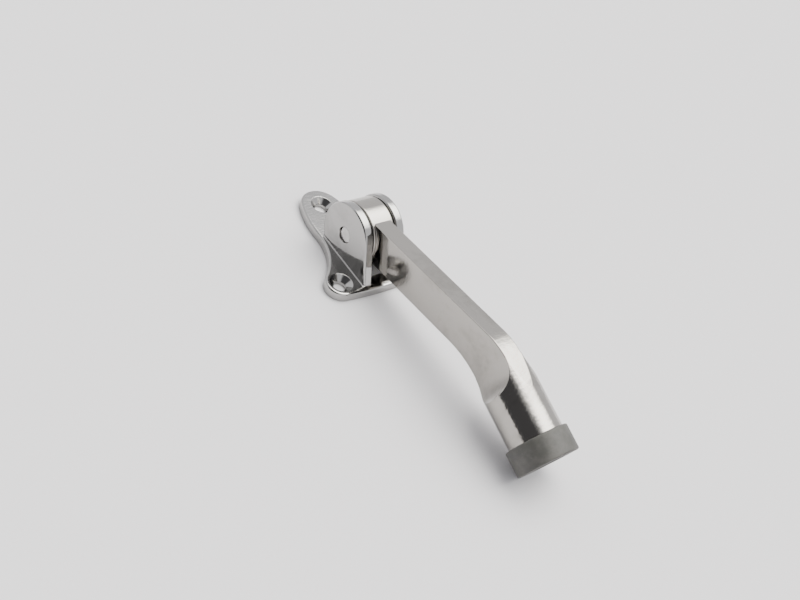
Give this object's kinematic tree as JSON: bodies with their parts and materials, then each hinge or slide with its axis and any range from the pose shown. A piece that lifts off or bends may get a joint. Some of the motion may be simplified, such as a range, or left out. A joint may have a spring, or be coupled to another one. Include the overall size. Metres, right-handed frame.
{
  "type": "kick-down door holder",
  "caption": "Kick-down door holder: a lobed screw-on bracket with two ears, a pivoting bent lever arm that swells to a round end, and a rubber foot.",
  "frame": {"origin": "midway between the two lower screw holes, on the bracket's back plane", "axes": "+X along the cross pin, +Y towards the single upper screw hole, +Z out of the mounting face; the arm lies along -Y at rest"},
  "size_m": [0.0484, 0.1587, 0.0341],
  "materials": {
    "bracket_steel": "mirror-polished cast stainless steel",
    "pin_steel": "turned stainless steel",
    "bush_nylon": "natural nylon",
    "washer_nylon": "black nylon",
    "spring_steel": "bright spring steel",
    "arm_steel": "mirror-polished cast stainless steel",
    "foot_rubber": "moulded black rubber",
    "fixing_steel": "stainless steel"
  },
  "bodies": {
    "mount": {"bracket": "bracket_steel", "pivot_pin": "pin_steel", "friction_washer_left": "washer_nylon", "friction_washer_right": "washer_nylon", "spring_washer": "spring_steel"},
    "arm": {"lever_arm": "arm_steel", "bush_left": "bush_nylon", "bush_right": "bush_nylon", "rubber_foot": "foot_rubber", "foot_washer": "fixing_steel", "foot_screw": "fixing_steel"}
  },
  "joints": [
    {"name": "arm_swing", "type": "hinge", "parent": "mount", "child": "arm", "pos_m": [0, 0.0145, 0.0138], "axis": [-1, 0, 0], "range_deg": [0, 165]}
  ]
}
